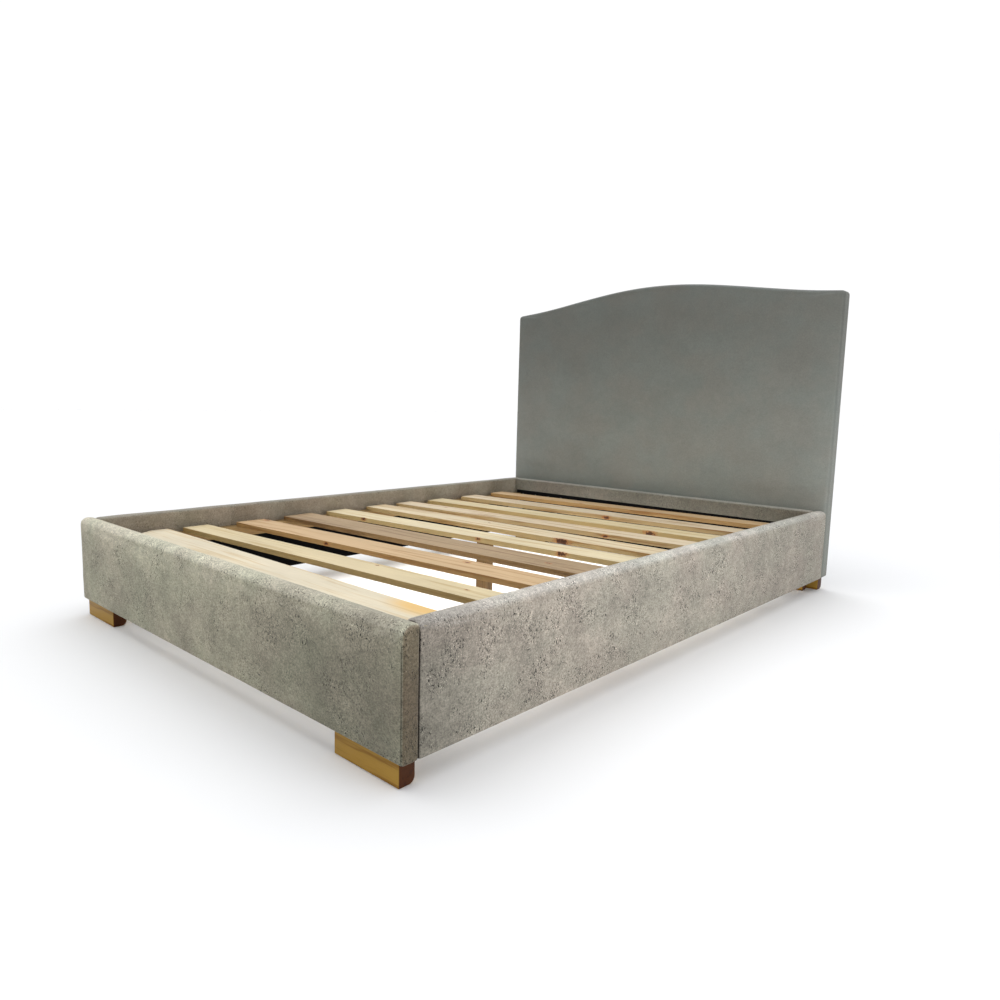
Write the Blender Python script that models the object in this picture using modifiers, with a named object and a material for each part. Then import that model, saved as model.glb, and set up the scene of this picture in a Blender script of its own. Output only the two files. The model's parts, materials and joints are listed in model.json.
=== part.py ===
"""Upholstered double bed: four padded box-frame panels, a bell-topped headboard and loose slats.

Metres, +Z up. The origin is under the middle of the bed on the floor; +Y points at the headboard
and +X is the right-hand side for someone who stands at the foot and looks at the headboard.
"""
import math

import bpy
import bmesh
from mathutils import Matrix, Vector

# Driving dimensions.
WIDTH = 1.50              # over the side rails, and the headboard's width
MATTRESS_LENGTH = 2.00    # clear length between footboard and head rail
PANEL = 0.040             # thickness of every padded frame panel
HEADBOARD = 0.060         # thickness of the headboard
FLOOR_GAP = 0.050         # height of the feet
FRAME_TOP = 0.300         # top of the footboard and rails above the floor
BELL_BASE = 1.098         # height at which the headboard's bell curve would run out
BELL_RISE = 0.0825        # height of the bell above that
BELL_HALF = 0.843         # half the bell's full width, a little over half the headboard

GAP = 0.0003              # clearance between touching pieces
FABRIC = 0.0012           # upholstery fabric
LINING = 0.0008           # black non-woven lining cloth
FOAM = 0.008              # foam over the frame boards
EDGE = 0.012              # rounding of the padded panels
HEAD_EDGE = 0.015         # rounding of the headboard
HEAD_FOAM = 0.030
HEAD_BOARD = 0.025

LEDGER = (0.040, 0.035)   # slat support strip: depth from the rail, height
LEDGER_TOP = 0.232
SLAT_RIGHT = 0.700        # where every plank's right end lies
SLAT_THICK = 0.016
# The ten planks lie loose, no two alike: distance from the footboard's front face on the bed's
# middle line, width, how far the plank is turned from square in degrees, and its left end.
SLATS = (
    (0.198, 0.100, -0.3, -0.698),
    (0.381, 0.092, 3.1, -0.692),
    (0.581, 0.110, 3.4, -0.682),
    (0.778, 0.125, 2.8, -0.688),
    (0.965, 0.099, 3.4, -0.693),
    (1.149, 0.102, 1.8, -0.697),
    (1.325, 0.092, 3.7, -0.695),
    (1.496, 0.097, 3.6, -0.682),
    (1.696, 0.101, 2.6, -0.680),
    (1.907, 0.085, 3.7, -0.684),
)
LEG_SLAT = 5              # the plank that the middle leg is fixed to
LEG_SIZE = 0.040
LEG_X = 0.060

FOOT = (0.190, 0.039)     # length across the bed, depth along it
FOOT_ROUND = 0.014
FOOT_INSET = 0.0175       # from the side of the bed to a foot's end
FRONT_FOOT_SETBACK = 0.0085
RAIL_FOOT_INSET = 0.050   # the head rail stands between the side rails, so its feet do too

BRACKET_LEG = 0.050
BRACKET_STEEL = 0.003
BRACKET_LOW = 0.090
BRACKET_HIGH = 0.170
SCREW_R = 0.003
SCREW_HEAD_R = 0.0055
SCREW_HEAD_H = 0.004
SCREW_LENGTH = 0.026
HEAD_BOLT_X = 0.450
HEAD_BOLT_Z = 0.150
HEAD_BOLT_R = 0.004
HEAD_BOLT_HEAD_R = 0.0075
HEAD_BOLT_HEAD_H = 0.005

LENGTH = PANEL + MATTRESS_LENGTH + PANEL + HEADBOARD
FRONT = -LENGTH / 2                                   # footboard's front face
RAIL_LENGTH = MATTRESS_LENGTH + PANEL                 # side rails run beside the head rail
INNER = WIDTH / 2 - PANEL                             # inner face of the side rails
HEAD_FRONT = FRONT + PANEL + MATTRESS_LENGTH + PANEL  # headboard's front face
HEAD_RAIL_FACE = HEAD_FRONT - GAP - PANEL              # inner face of the head rail
PANEL_H = FRAME_TOP - FLOOR_GAP
HEM = LEDGER_TOP - 0.005 - FLOOR_GAP                  # where the fabric ends inside a panel
HEAD_RAIL_HEM = LEDGER_TOP + SLAT_THICK - FLOOR_GAP   # the head rail has no ledger: it ends higher

PART = bpy.data.collections.new("upholstered_bed")
CUTTERS = bpy.data.collections.new("cutters")


def clear_scene():
    for old in list(bpy.data.objects):
        bpy.data.objects.remove(old, do_unlink=True)


def material(name, colour, roughness, metallic=0.0):
    mat = bpy.data.materials.new(name)
    mat.use_nodes = True
    shader = mat.node_tree.nodes["Principled BSDF"]
    shader.inputs["Base Color"].default_value = (*colour, 1.0)
    shader.inputs["Roughness"].default_value = roughness
    shader.inputs["Metallic"].default_value = metallic
    mat.diffuse_color = (*colour, 1.0)
    return mat


def keep(obj, mat, collection=None):
    """Link an object to its collection and give it its own copy of a material."""
    for old in list(obj.users_collection):
        old.objects.unlink(obj)
    (collection or PART).objects.link(obj)
    if mat is not None:
        obj.data.materials.clear()
        own = mat.copy()
        own.name = obj.name
        obj.data.materials.append(own)
    return obj


def mesh_object(name, bm, mat):
    mesh = bpy.data.meshes.new(name)
    bm.to_mesh(mesh)
    bm.free()
    return keep(bpy.data.objects.new(name, mesh), mat)


def box_bmesh(low, high):
    bm = bmesh.new()
    size = [b - a for a, b in zip(low, high)]
    middle = [(a + b) / 2 for a, b in zip(low, high)]
    bmesh.ops.create_cube(bm, size=1.0, matrix=Matrix.Translation(middle) @ Matrix.Diagonal((*size, 1.0)))
    return bm


def bevel(obj, width, segments=1, angle=30):
    mod = obj.modifiers.new("bevel", "BEVEL")
    mod.width = width
    mod.segments = segments
    mod.limit_method = "ANGLE"
    mod.angle_limit = math.radians(angle)
    return obj


def solidify(obj, thickness):
    mod = obj.modifiers.new("solidify", "SOLIDIFY")
    mod.thickness = thickness
    mod.offset = -1.0
    mod.use_even_offset = True
    return obj


def box(name, low, high, mat, chamfer=0.0, segments=1):
    obj = mesh_object(name, box_bmesh(low, high), mat)
    if chamfer:
        bevel(obj, chamfer, segments)
    return obj


def outline_prism(name, points, depth, mat):
    """A closed outline in local XY, extruded from z = 0 to depth, as one welded mesh."""
    curve = bpy.data.curves.new(name, "CURVE")
    curve.dimensions = "2D"
    curve.fill_mode = "BOTH"
    curve.extrude = depth / 2
    line = curve.splines.new("POLY")
    line.points.add(len(points) - 1)
    for slot, (x, y) in zip(line.points, points):
        slot.co = (x, y, 0.0, 1.0)
    line.use_cyclic_u = True
    flat = bpy.data.objects.new(name + "_outline", curve)
    bpy.context.scene.collection.objects.link(flat)
    graph = bpy.context.evaluated_depsgraph_get()
    mesh = bpy.data.meshes.new_from_object(flat.evaluated_get(graph))
    bpy.data.objects.remove(flat, do_unlink=True)
    bpy.data.curves.remove(curve)
    bm = bmesh.new()
    bm.from_mesh(mesh)
    bpy.data.meshes.remove(mesh)
    bmesh.ops.remove_doubles(bm, verts=bm.verts, dist=1e-5)
    bmesh.ops.translate(bm, verts=bm.verts, vec=(0.0, 0.0, depth / 2))
    bmesh.ops.dissolve_limit(bm, angle_limit=0.002, verts=bm.verts, edges=bm.edges)
    bmesh.ops.recalc_face_normals(bm, faces=bm.faces)
    return mesh_object(name, bm, mat)


def cutter(name, radius, start, end):
    """A drill from start to end, used as a Boolean operand only."""
    start, end = Vector(start), Vector(end)
    axis = end - start
    bm = bmesh.new()
    bmesh.ops.create_cone(bm, cap_ends=True, segments=16, radius1=radius, radius2=radius,
                          depth=axis.length)
    obj = mesh_object(name, bm, None)
    obj.location = (start + end) / 2
    obj.rotation_mode = "QUATERNION"
    obj.rotation_quaternion = axis.to_track_quat("Z", "Y")
    keep(obj, None, CUTTERS)
    obj.hide_render = True
    obj.display_type = "WIRE"
    return obj


def drill(target, tool):
    mod = target.modifiers.new("drill", "BOOLEAN")
    mod.operation = "DIFFERENCE"
    mod.object = tool


def screw(name, head_at, direction, radius, head_radius, head_height, length, mat):
    """A hexagon-headed screw whose head sits on head_at and whose shank runs along direction."""
    bm = bmesh.new()
    bmesh.ops.create_cone(bm, cap_ends=True, segments=6, radius1=head_radius, radius2=head_radius,
                          depth=head_height, matrix=Matrix.Translation((0, 0, -head_height / 2)))
    head = mesh_object(name, bm, mat)
    bm = bmesh.new()
    overlap = head_height / 2
    bmesh.ops.create_cone(bm, cap_ends=True, segments=12, radius1=radius, radius2=radius,
                          depth=length + overlap,
                          matrix=Matrix.Translation((0, 0, (length - overlap) / 2)))
    shank = mesh_object(name + "_shank", bm, None)
    keep(shank, None, CUTTERS)
    shank.hide_render = True
    shank.display_type = "WIRE"
    shank.parent = head
    mod = head.modifiers.new("shank", "BOOLEAN")
    mod.operation = "UNION"
    mod.object = shank
    head.rotation_mode = "QUATERNION"
    head.rotation_quaternion = Vector(direction).to_track_quat("Z", "Y")
    head.location = head_at
    return head


def wrap(name, length, inset, radius, thickness, mat, inner_cut, low_cut):
    """A panel's outer skin as a shell: a rounded box, open below and inside under inner_cut.

    Local frame of a panel: X along it, outer face at y = 0, inner face at y = PANEL, z up from 0.
    """
    bm = box_bmesh((-length / 2 + inset, inset, inset), (length / 2 - inset, PANEL - inset, PANEL_H - inset))
    bmesh.ops.bevel(bm, geom=list(bm.edges), offset=radius, segments=3, profile=0.5, affect="EDGES")
    inner_plane = PANEL - inset - radius - 0.0005
    for point, normal in (((0, 0, inner_cut), (0, 0, 1)), ((0, inner_plane, 0), (0, 1, 0)),
                          ((0, 0, low_cut), (0, 0, 1))):
        bmesh.ops.bisect_plane(bm, geom=bm.verts[:] + bm.edges[:] + bm.faces[:], dist=1e-6,
                               plane_co=point, plane_no=normal)
    unwanted = []
    for face in bm.faces:
        middle = face.calc_center_median()
        hidden_inside = middle.y > inner_plane and middle.z < inner_cut
        underneath = face.normal.z < -0.999 or middle.z < low_cut
        if hidden_inside or underneath:
            unwanted.append(face)
    bmesh.ops.delete(bm, geom=unwanted, context="FACES")
    obj = mesh_object(name, bm, mat)
    solidify(obj, thickness)
    return obj


def frame_panel(name, length, location, turn, mats, hem=HEM):
    """Board, foam, fabric cover and black lining of one padded panel."""
    skin = FABRIC + GAP
    under = skin + FOAM + GAP
    half = length / 2
    made = {
        "board": box(name + "_board", (-half + under, under, 0.003),
                     (half - under, PANEL - skin - GAP, PANEL_H - under), mats["board"], 0.003),
        "foam": wrap(name + "_foam", length, skin, EDGE - skin, FOAM, mats["foam"],
                     PANEL_H, EDGE + skin),
        "cover": wrap(name + "_cover", length, 0.0, EDGE, FABRIC, mats["fabric"], hem, -1.0),
    }
    low = EDGE + 0.0005
    profile = ((low, 0.0), (PANEL, 0.0), (PANEL, hem - GAP), (PANEL - LINING, hem - GAP),
               (PANEL - LINING, LINING), (low, LINING))
    lining = outline_prism(name + "_lining", profile, length - 2 * low, mats["lining"])
    lining.data.transform(Matrix.Translation((-half + low, 0, 0)) @ Matrix(
        ((0, 0, 1, 0), (1, 0, 0, 0), (0, 1, 0, 0), (0, 0, 0, 1))))
    made["lining"] = lining
    for obj in made.values():
        obj.location = location
        obj.rotation_euler = (0.0, 0.0, math.radians(turn))
    return made


def bell(x):
    return BELL_BASE + BELL_RISE * 0.5 * (1.0 + math.cos(math.pi * x / BELL_HALF))


def bell_outline(inset, steps=24):
    """The headboard's outline, drawn in by inset on every side."""
    half = WIDTH / 2 - inset
    points = [(-half, FLOOR_GAP + inset), (half, FLOOR_GAP + inset)]
    for i in range(steps + 1):
        x = half - 2 * half * i / steps
        points.append((x, bell(x) - inset))
    return points


def upright(obj, y):
    """Turn an outline prism so its outline stands in XZ and its depth runs along +Y from y."""
    obj.data.transform(Matrix(((1, 0, 0, 0), (0, 0, 1, 0), (0, 1, 0, 0), (0, 0, 0, 1))))
    obj.data.flip_normals()
    obj.location = (0.0, y, 0.0)
    return obj


def headboard(mats):
    """Board, foam, fabric cover and black back cloth of the headboard."""
    skin = FABRIC + GAP
    hem = 0.020
    cover = upright(outline_prism("headboard_cover", bell_outline(0.0), HEADBOARD, mats["head_fabric"]),
                    HEAD_FRONT)
    bm = bmesh.new()
    bm.from_mesh(cover.data)
    rim = [e for e in bm.edges if len(e.link_faces) == 2 and e.calc_face_angle() > math.radians(30)]
    bmesh.ops.bevel(bm, geom=rim, offset=HEAD_EDGE, segments=3, profile=0.5, affect="EDGES",
                    clamp_overlap=True)
    back = [f for f in bm.faces if f.normal.y > 0.999]
    bmesh.ops.inset_region(bm, faces=back, thickness=hem, use_even_offset=True)
    bmesh.ops.delete(bm, geom=back, context="FACES")
    bm.to_mesh(cover.data)
    bm.free()
    solidify(cover, FABRIC)
    foam = upright(outline_prism("headboard_foam", bell_outline(skin), HEAD_FOAM, mats["foam"]),
                   HEAD_FRONT + skin)
    bevel(foam, HEAD_EDGE - skin, 3)
    board_inset = 0.008
    board = upright(outline_prism("headboard_board", bell_outline(board_inset), HEAD_BOARD, mats["board"]),
                    HEAD_FRONT + skin + HEAD_FOAM + GAP)
    bevel(board, 0.006)
    cloth = upright(outline_prism("headboard_back_cloth", bell_outline(HEAD_EDGE + hem + 0.001), LINING,
                                  mats["lining"]),
                    HEAD_FRONT + HEADBOARD - LINING)
    return {"cover": cover, "foam": foam, "board": board, "back_cloth": cloth}


def foot(name, outer_x, side, front_y, mat):
    """A low wooden block foot whose lower back corner is rounded off."""
    length, depth = FOOT
    top = FLOOR_GAP - GAP
    arc = [(depth - FOOT_ROUND + FOOT_ROUND * math.sin(a), FOOT_ROUND - FOOT_ROUND * math.cos(a))
           for a in [math.radians(90) * i / 5 for i in range(6)]]
    profile = [(0.0, 0.0), *arc, (depth, top), (0.0, top)]
    obj = outline_prism(name, profile, length, mat)
    obj.data.transform(Matrix(((0, 0, 1, 0), (1, 0, 0, 0), (0, 1, 0, 0), (0, 0, 0, 1))))
    bevel(obj, 0.0012)
    obj.location = (outer_x - length if side > 0 else -outer_x, front_y, 0.0)
    return obj


def ledger(name, side, mat):
    depth, height = LEDGER
    outer = INNER - GAP
    xs = sorted((side * (outer - depth), side * outer))
    start = FRONT + PANEL + 0.002
    return box(name, (xs[0], start, LEDGER_TOP - height),
               (xs[1], start + MATTRESS_LENGTH - 0.004, LEDGER_TOP), mat, 0.001)


def slat(number, mat):
    y, width, turn, left = SLATS[number - 1]
    half = (SLAT_RIGHT - left) / 2
    middle = (SLAT_RIGHT + left) / 2
    obj = box("slat_%02d" % number, (-half, -width / 2, 0.0), (half, width / 2, SLAT_THICK), mat, 0.0012)
    obj.location = (middle, FRONT + y + middle * math.tan(math.radians(turn)), LEDGER_TOP + GAP)
    obj.rotation_euler = (0.0, 0.0, math.radians(turn))
    return obj


def middle_leg(mat):
    y, _, turn, _ = SLATS[LEG_SLAT - 1]
    half = LEG_SIZE / 2
    obj = box("middle_leg", (-half, -half, 0.0), (half, half, LEDGER_TOP), mat, 0.0015)
    obj.location = (LEG_X, FRONT + y + LEG_X * math.tan(math.radians(turn)), 0.0)
    obj.rotation_euler = (0.0, 0.0, math.radians(turn))
    return obj


def corner_bracket(name, side, end, mats):
    """A steel angle inside one corner; end is -1 at the footboard and +1 at the head rail."""
    leg, steel = BRACKET_LEG, BRACKET_STEEL
    outline = [(0, 0), (leg, 0), (leg, steel), (steel, steel), (steel, leg), (0, leg)]
    obj = outline_prism(name, outline, BRACKET_HIGH - BRACKET_LOW, mats["steel"])
    corner_x = side * (INNER - GAP)
    face_y = FRONT + PANEL if end < 0 else HEAD_RAIL_FACE
    corner_y = face_y - end * GAP
    obj.data.transform(Matrix.Diagonal((-side, -end, 1.0, 1.0)))
    if side * end < 0:
        obj.data.flip_normals()
    obj.location = (corner_x, corner_y, BRACKET_LOW)
    return obj, corner_x, corner_y


def bracket_screws(name, side, end, corner_x, corner_y, mats):
    """The two screws of a corner bracket with the drill that each one runs in."""
    middle = BRACKET_LEG * 0.6
    z = (BRACKET_LOW + BRACKET_HIGH) / 2
    into_end = Vector((0.0, end, 0.0))
    into_rail = Vector((side, 0.0, 0.0))
    made = []
    for label, point, way in (
            ("end", Vector((corner_x - side * middle, corner_y, z)), into_end),
            ("rail", Vector((corner_x, corner_y - end * middle, z)), into_rail)):
        face = point - way * (BRACKET_STEEL + GAP)
        fixed = screw("%s_screw_%s" % (name, label), face, way, SCREW_R, SCREW_HEAD_R, SCREW_HEAD_H,
                      SCREW_LENGTH, mats["steel"])
        tool = cutter("%s_drill_%s" % (name, label), SCREW_R + GAP, face - way * 0.01,
                      face + way * (SCREW_LENGTH + 0.001))
        made.append((fixed, tool))
    return made


def headboard_bolt(name, side, mats, panel, head):
    """A bolt from inside the head rail through both padded panels into the headboard's board."""
    reach = PANEL + FABRIC + HEAD_FOAM + 0.022
    face = Vector((side * HEAD_BOLT_X, HEAD_RAIL_FACE - GAP, HEAD_BOLT_Z))
    way = Vector((0.0, 1.0, 0.0))
    screw(name, face, way, HEAD_BOLT_R, HEAD_BOLT_HEAD_R, HEAD_BOLT_HEAD_H, reach, mats["steel"])
    tool = cutter(name + "_drill", HEAD_BOLT_R + GAP, face - way * 0.01, face + way * (reach + 0.001))
    for target in (*panel.values(), head["cover"], head["foam"], head["board"]):
        drill(target, tool)


def build():
    clear_scene()
    for collection in (PART, CUTTERS):
        bpy.context.scene.collection.children.link(collection)
    mats = {
        "fabric": material("velvet", (0.30, 0.29, 0.25), 0.85),
        "head_fabric": material("head_velvet", (0.15, 0.155, 0.14), 0.85),
        "foam": material("foam", (0.75, 0.68, 0.45), 0.95),
        "board": material("particle_board", (0.45, 0.33, 0.20), 0.80),
        "lining": material("lining", (0.008, 0.008, 0.009), 0.95),
        "pine": material("pine", (0.72, 0.58, 0.38), 0.60),
        "ledger": material("spruce", (0.30, 0.21, 0.09), 0.70),
        "foot": material("stained_wood", (0.25, 0.14, 0.04), 0.40),
        "steel": material("zinc_steel", (0.55, 0.55, 0.53), 0.35, 1.0),
    }
    panels = {
        "footboard": frame_panel("footboard", WIDTH, (0.0, FRONT, FLOOR_GAP), 0, mats),
        "head_rail": frame_panel("head_rail", 2 * (INNER - GAP), (0.0, HEAD_FRONT - GAP, FLOOR_GAP), 180,
                                 mats, HEAD_RAIL_HEM),
    }
    rail_middle = FRONT + PANEL + RAIL_LENGTH / 2
    rail_length = RAIL_LENGTH - 2 * GAP
    for name, side in (("left_rail", -1), ("right_rail", 1)):
        panels[name] = frame_panel(name, rail_length, (side * WIDTH / 2, rail_middle, FLOOR_GAP),
                                   side * 90, mats)
    head = headboard(mats)

    for side, word in ((-1, "left"), (1, "right")):
        ledger("slat_support_" + word, side, mats["ledger"])
        foot("front_foot_" + word, WIDTH / 2 - FOOT_INSET, side, FRONT + FRONT_FOOT_SETBACK, mats["foot"])
        foot("rail_foot_" + word, WIDTH / 2 - RAIL_FOOT_INSET, side, HEAD_FRONT - PANEL, mats["foot"])
        foot("headboard_foot_" + word, WIDTH / 2 - FOOT_INSET, side,
             HEAD_FRONT + HEADBOARD - FOOT[1] - GAP, mats["foot"])
        headboard_bolt("headboard_bolt_" + word, side, mats, panels["head_rail"], head)
        for end, end_word, end_panel in ((-1, "front", "footboard"), (1, "back", "head_rail")):
            name = "corner_%s_%s" % (end_word, word)
            bracket, x, y = corner_bracket(name, side, end, mats)
            rail = panels[word + "_rail"]
            pairs = bracket_screws(name, side, end, x, y, mats)
            for (_, tool), panel in zip(pairs, (panels[end_panel], rail)):
                for target in (bracket, panel["lining"], panel["board"]):
                    drill(target, tool)

    for number in range(1, len(SLATS) + 1):
        slat(number, mats["pine"])
    middle_leg(mats["pine"])


build()
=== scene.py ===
"""Looks for the upholstered bed: padded velvet panels, raw pine slats, stained block feet."""
import json
import math

import bpy
import bmesh
import numpy as np
from mathutils import Matrix, Vector, noise

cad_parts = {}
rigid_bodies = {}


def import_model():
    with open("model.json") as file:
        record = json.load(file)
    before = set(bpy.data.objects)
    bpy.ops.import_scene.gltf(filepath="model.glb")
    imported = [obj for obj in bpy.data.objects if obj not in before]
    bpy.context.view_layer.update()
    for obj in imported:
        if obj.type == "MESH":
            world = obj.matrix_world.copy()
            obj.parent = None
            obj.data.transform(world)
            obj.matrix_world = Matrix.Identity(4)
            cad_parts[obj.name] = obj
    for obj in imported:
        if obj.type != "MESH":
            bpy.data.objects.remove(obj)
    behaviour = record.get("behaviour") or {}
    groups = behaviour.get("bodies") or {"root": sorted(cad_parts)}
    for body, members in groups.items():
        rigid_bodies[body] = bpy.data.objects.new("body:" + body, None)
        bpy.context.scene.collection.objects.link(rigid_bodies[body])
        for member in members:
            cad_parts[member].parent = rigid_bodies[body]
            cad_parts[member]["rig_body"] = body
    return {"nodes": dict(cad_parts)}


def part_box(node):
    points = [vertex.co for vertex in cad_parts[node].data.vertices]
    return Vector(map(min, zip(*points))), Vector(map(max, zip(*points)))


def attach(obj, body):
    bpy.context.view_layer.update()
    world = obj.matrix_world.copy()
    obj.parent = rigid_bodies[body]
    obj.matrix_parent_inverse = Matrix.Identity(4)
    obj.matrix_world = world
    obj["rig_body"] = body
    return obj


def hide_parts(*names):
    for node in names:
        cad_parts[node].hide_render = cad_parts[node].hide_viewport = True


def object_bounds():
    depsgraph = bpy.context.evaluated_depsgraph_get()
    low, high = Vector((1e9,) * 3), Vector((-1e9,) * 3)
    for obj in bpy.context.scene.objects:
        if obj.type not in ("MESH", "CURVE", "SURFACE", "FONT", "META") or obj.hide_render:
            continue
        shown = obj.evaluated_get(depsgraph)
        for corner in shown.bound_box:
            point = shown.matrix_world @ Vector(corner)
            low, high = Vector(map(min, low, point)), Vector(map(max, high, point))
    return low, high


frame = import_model()
CAD_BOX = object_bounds()

SLATS = ["slat_%02d" % i for i in range(1, 11)]
# Each frame panel and the world direction of its outer face.
PANELS = {"footboard": (0, -1, 0), "head_rail": (0, 1, 0), "left_rail": (-1, 0, 0), "right_rail": (1, 0, 0)}

# All lengths are metres. First the padded covers.
NEAR_EDGE = (0.0017, 0.0042, 0.0075, 0.012, 0.018)   # where the grids are cut beside an edge
PANEL_GRID = 0.012      # spacing of a frame panel's grid
HEAD_GRID = 0.016       # spacing of the headboard's grid
OUTER_ROLL = 0.018      # rounding of a panel's top edge on the outside
INNER_ROLL = 0.005      # rounding of its top edge on the inside
TOP_END = 0.008         # rounding of its top edge at both ends
UPRIGHT_EDGE = 0.006    # rounding of its upright corners
BOTTOM_EDGE = 0.005     # rounding of its bottom edges
HEAD_FRONT_EDGE = 0.014
HEAD_BACK_EDGE = 0.008
CROWN = 0.003           # how far the padding stands up along the middle of a panel's top
PANEL_SWELL = 0.0042    # how far Cloth may push a panel's fabric out
HEAD_SWELL = 0.006
PANEL_WAVE = 0.0009     # height of the faint waves in the padding
HEAD_WAVE = 0.0012
CLOTH_PRESSURE = 4.0    # what Cloth blows the covers up with
CLOTH_FRAMES = 20       # steps after which the fabric has come to rest
CORNER_SEAM = 0.7465    # from the middle of the footboard to its sewn corners
SEAM_INSET = 0.0036     # from a corner of the footboard's box to the stitches
SEAM_END = 0.014        # from its bottom and top to the first and last stitch
STITCH_SPACING = 0.0062
STITCH_LENGTH = 0.0034
STITCH_THICK = 0.00075

# Black cloth and staples.
LINING = 0.0008         # thickness of the black cloth
UNDER_LINING = 0.0012   # how far the fabric stands back where the black cloth covers it
LEDGER_HEM = 0.227      # height at which the fabric ends inside a panel beside a slat support
HEAD_RAIL_HEM = 0.248   # the same on the head rail, which has no support
LINING_INSET = 0.0125   # from a panel's outer face to the black cloth's edge underneath
LINING_FOLD = 0.002     # radius of the cloth's fold at the bottom inner edge
BACK_INSET = 0.036      # from the headboard's outline to the edge of its back cloth
STAPLE_SPACING = 0.075
STAPLE_CROWN = 0.0096
STAPLE_WIRE = 0.0011

PLANK_WANDER = 0.0007   # how far a plank's sawn edges wander

# The top of the headboard: one wave of a raised cosine.
BELL_BASE = 1.098
BELL_RISE = 0.0825
BELL_HALF = 0.843


def srgb(r, g, b):
    """A linear colour from 0-255 display values."""
    out = []
    for v in (r, g, b):
        v /= 255.0
        out.append(v / 12.92 if v <= 0.04045 else ((v + 0.055) / 1.055) ** 2.4)
    return (*out, 1.0)


# ---------------------------------------------------------------- node materials

class Graph:
    """A small helper that builds one Principled material out of nodes."""

    def __init__(self, name, roughness, metallic=0.0):
        self.mat = bpy.data.materials.new(name)
        self.mat.use_nodes = True
        self.tree = self.mat.node_tree
        self.shader = self.tree.nodes["Principled BSDF"]
        self.shader.inputs["Roughness"].default_value = roughness
        self.shader.inputs["Metallic"].default_value = metallic

    def put(self, socket, value):
        if isinstance(value, bpy.types.NodeSocket):
            self.tree.links.new(value, socket)
        else:
            socket.default_value = value

    def node(self, kind, inputs=(), out=0, **props):
        n = self.tree.nodes.new(kind)
        for key, value in props.items():
            setattr(n, key, value)
        for key, value in dict(inputs).items():
            self.put(n.inputs[key], value)
        return n.outputs[out]

    def coords(self, scale=(1, 1, 1), offset=(0, 0, 0), out="Object"):
        source = self.tree.nodes.new("ShaderNodeTexCoord").outputs[out]
        return self.node("ShaderNodeMapping", {0: source, 1: offset, 3: scale})

    def noise(self, vector, scale, detail=2.0, roughness=0.5, distortion=0.0):
        return self.node("ShaderNodeTexNoise", {"Vector": vector, "Scale": scale, "Detail": detail,
                                                "Roughness": roughness, "Distortion": distortion})

    def math(self, op, a, b=0.0):
        return self.node("ShaderNodeMath", {0: a, 1: b}, operation=op)

    def remap(self, value, a, b, c=0.0, d=1.0, smooth=False):
        kind = "SMOOTHSTEP" if smooth else "LINEAR"
        return self.node("ShaderNodeMapRange", {0: value, 1: a, 2: b, 3: c, 4: d},
                         interpolation_type=kind, clamp=True)

    def mix(self, factor, a, b, kind="MIX"):
        n = self.tree.nodes.new("ShaderNodeMix")
        n.data_type = "RGBA"
        n.blend_type = kind
        self.put(n.inputs[0], factor)
        self.put(n.inputs[6], a)
        self.put(n.inputs[7], b)
        return n.outputs[2]

    def scale_colour(self, colour, factor):
        """A colour times a grey factor."""
        grey = self.node("ShaderNodeCombineColor", {0: factor, 1: factor, 2: factor})
        return self.mix(1.0, colour, grey, "MULTIPLY")

    def bump(self, height, distance, strength=1.0, after=None):
        inputs = {"Height": height, "Distance": distance, "Strength": strength}
        if after is not None:
            inputs["Normal"] = after
        return self.node("ShaderNodeBump", inputs)

    def finish(self, colour, normal=None, roughness=None):
        self.put(self.shader.inputs["Base Color"], colour)
        if normal is not None:
            self.put(self.shader.inputs["Normal"], normal)
        if roughness is not None:
            self.put(self.shader.inputs["Roughness"], roughness)
        return self.mat


def spread(amount):
    """The tones this far below and above the plain one."""
    return 1.0 - amount, 1.0 + amount


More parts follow.
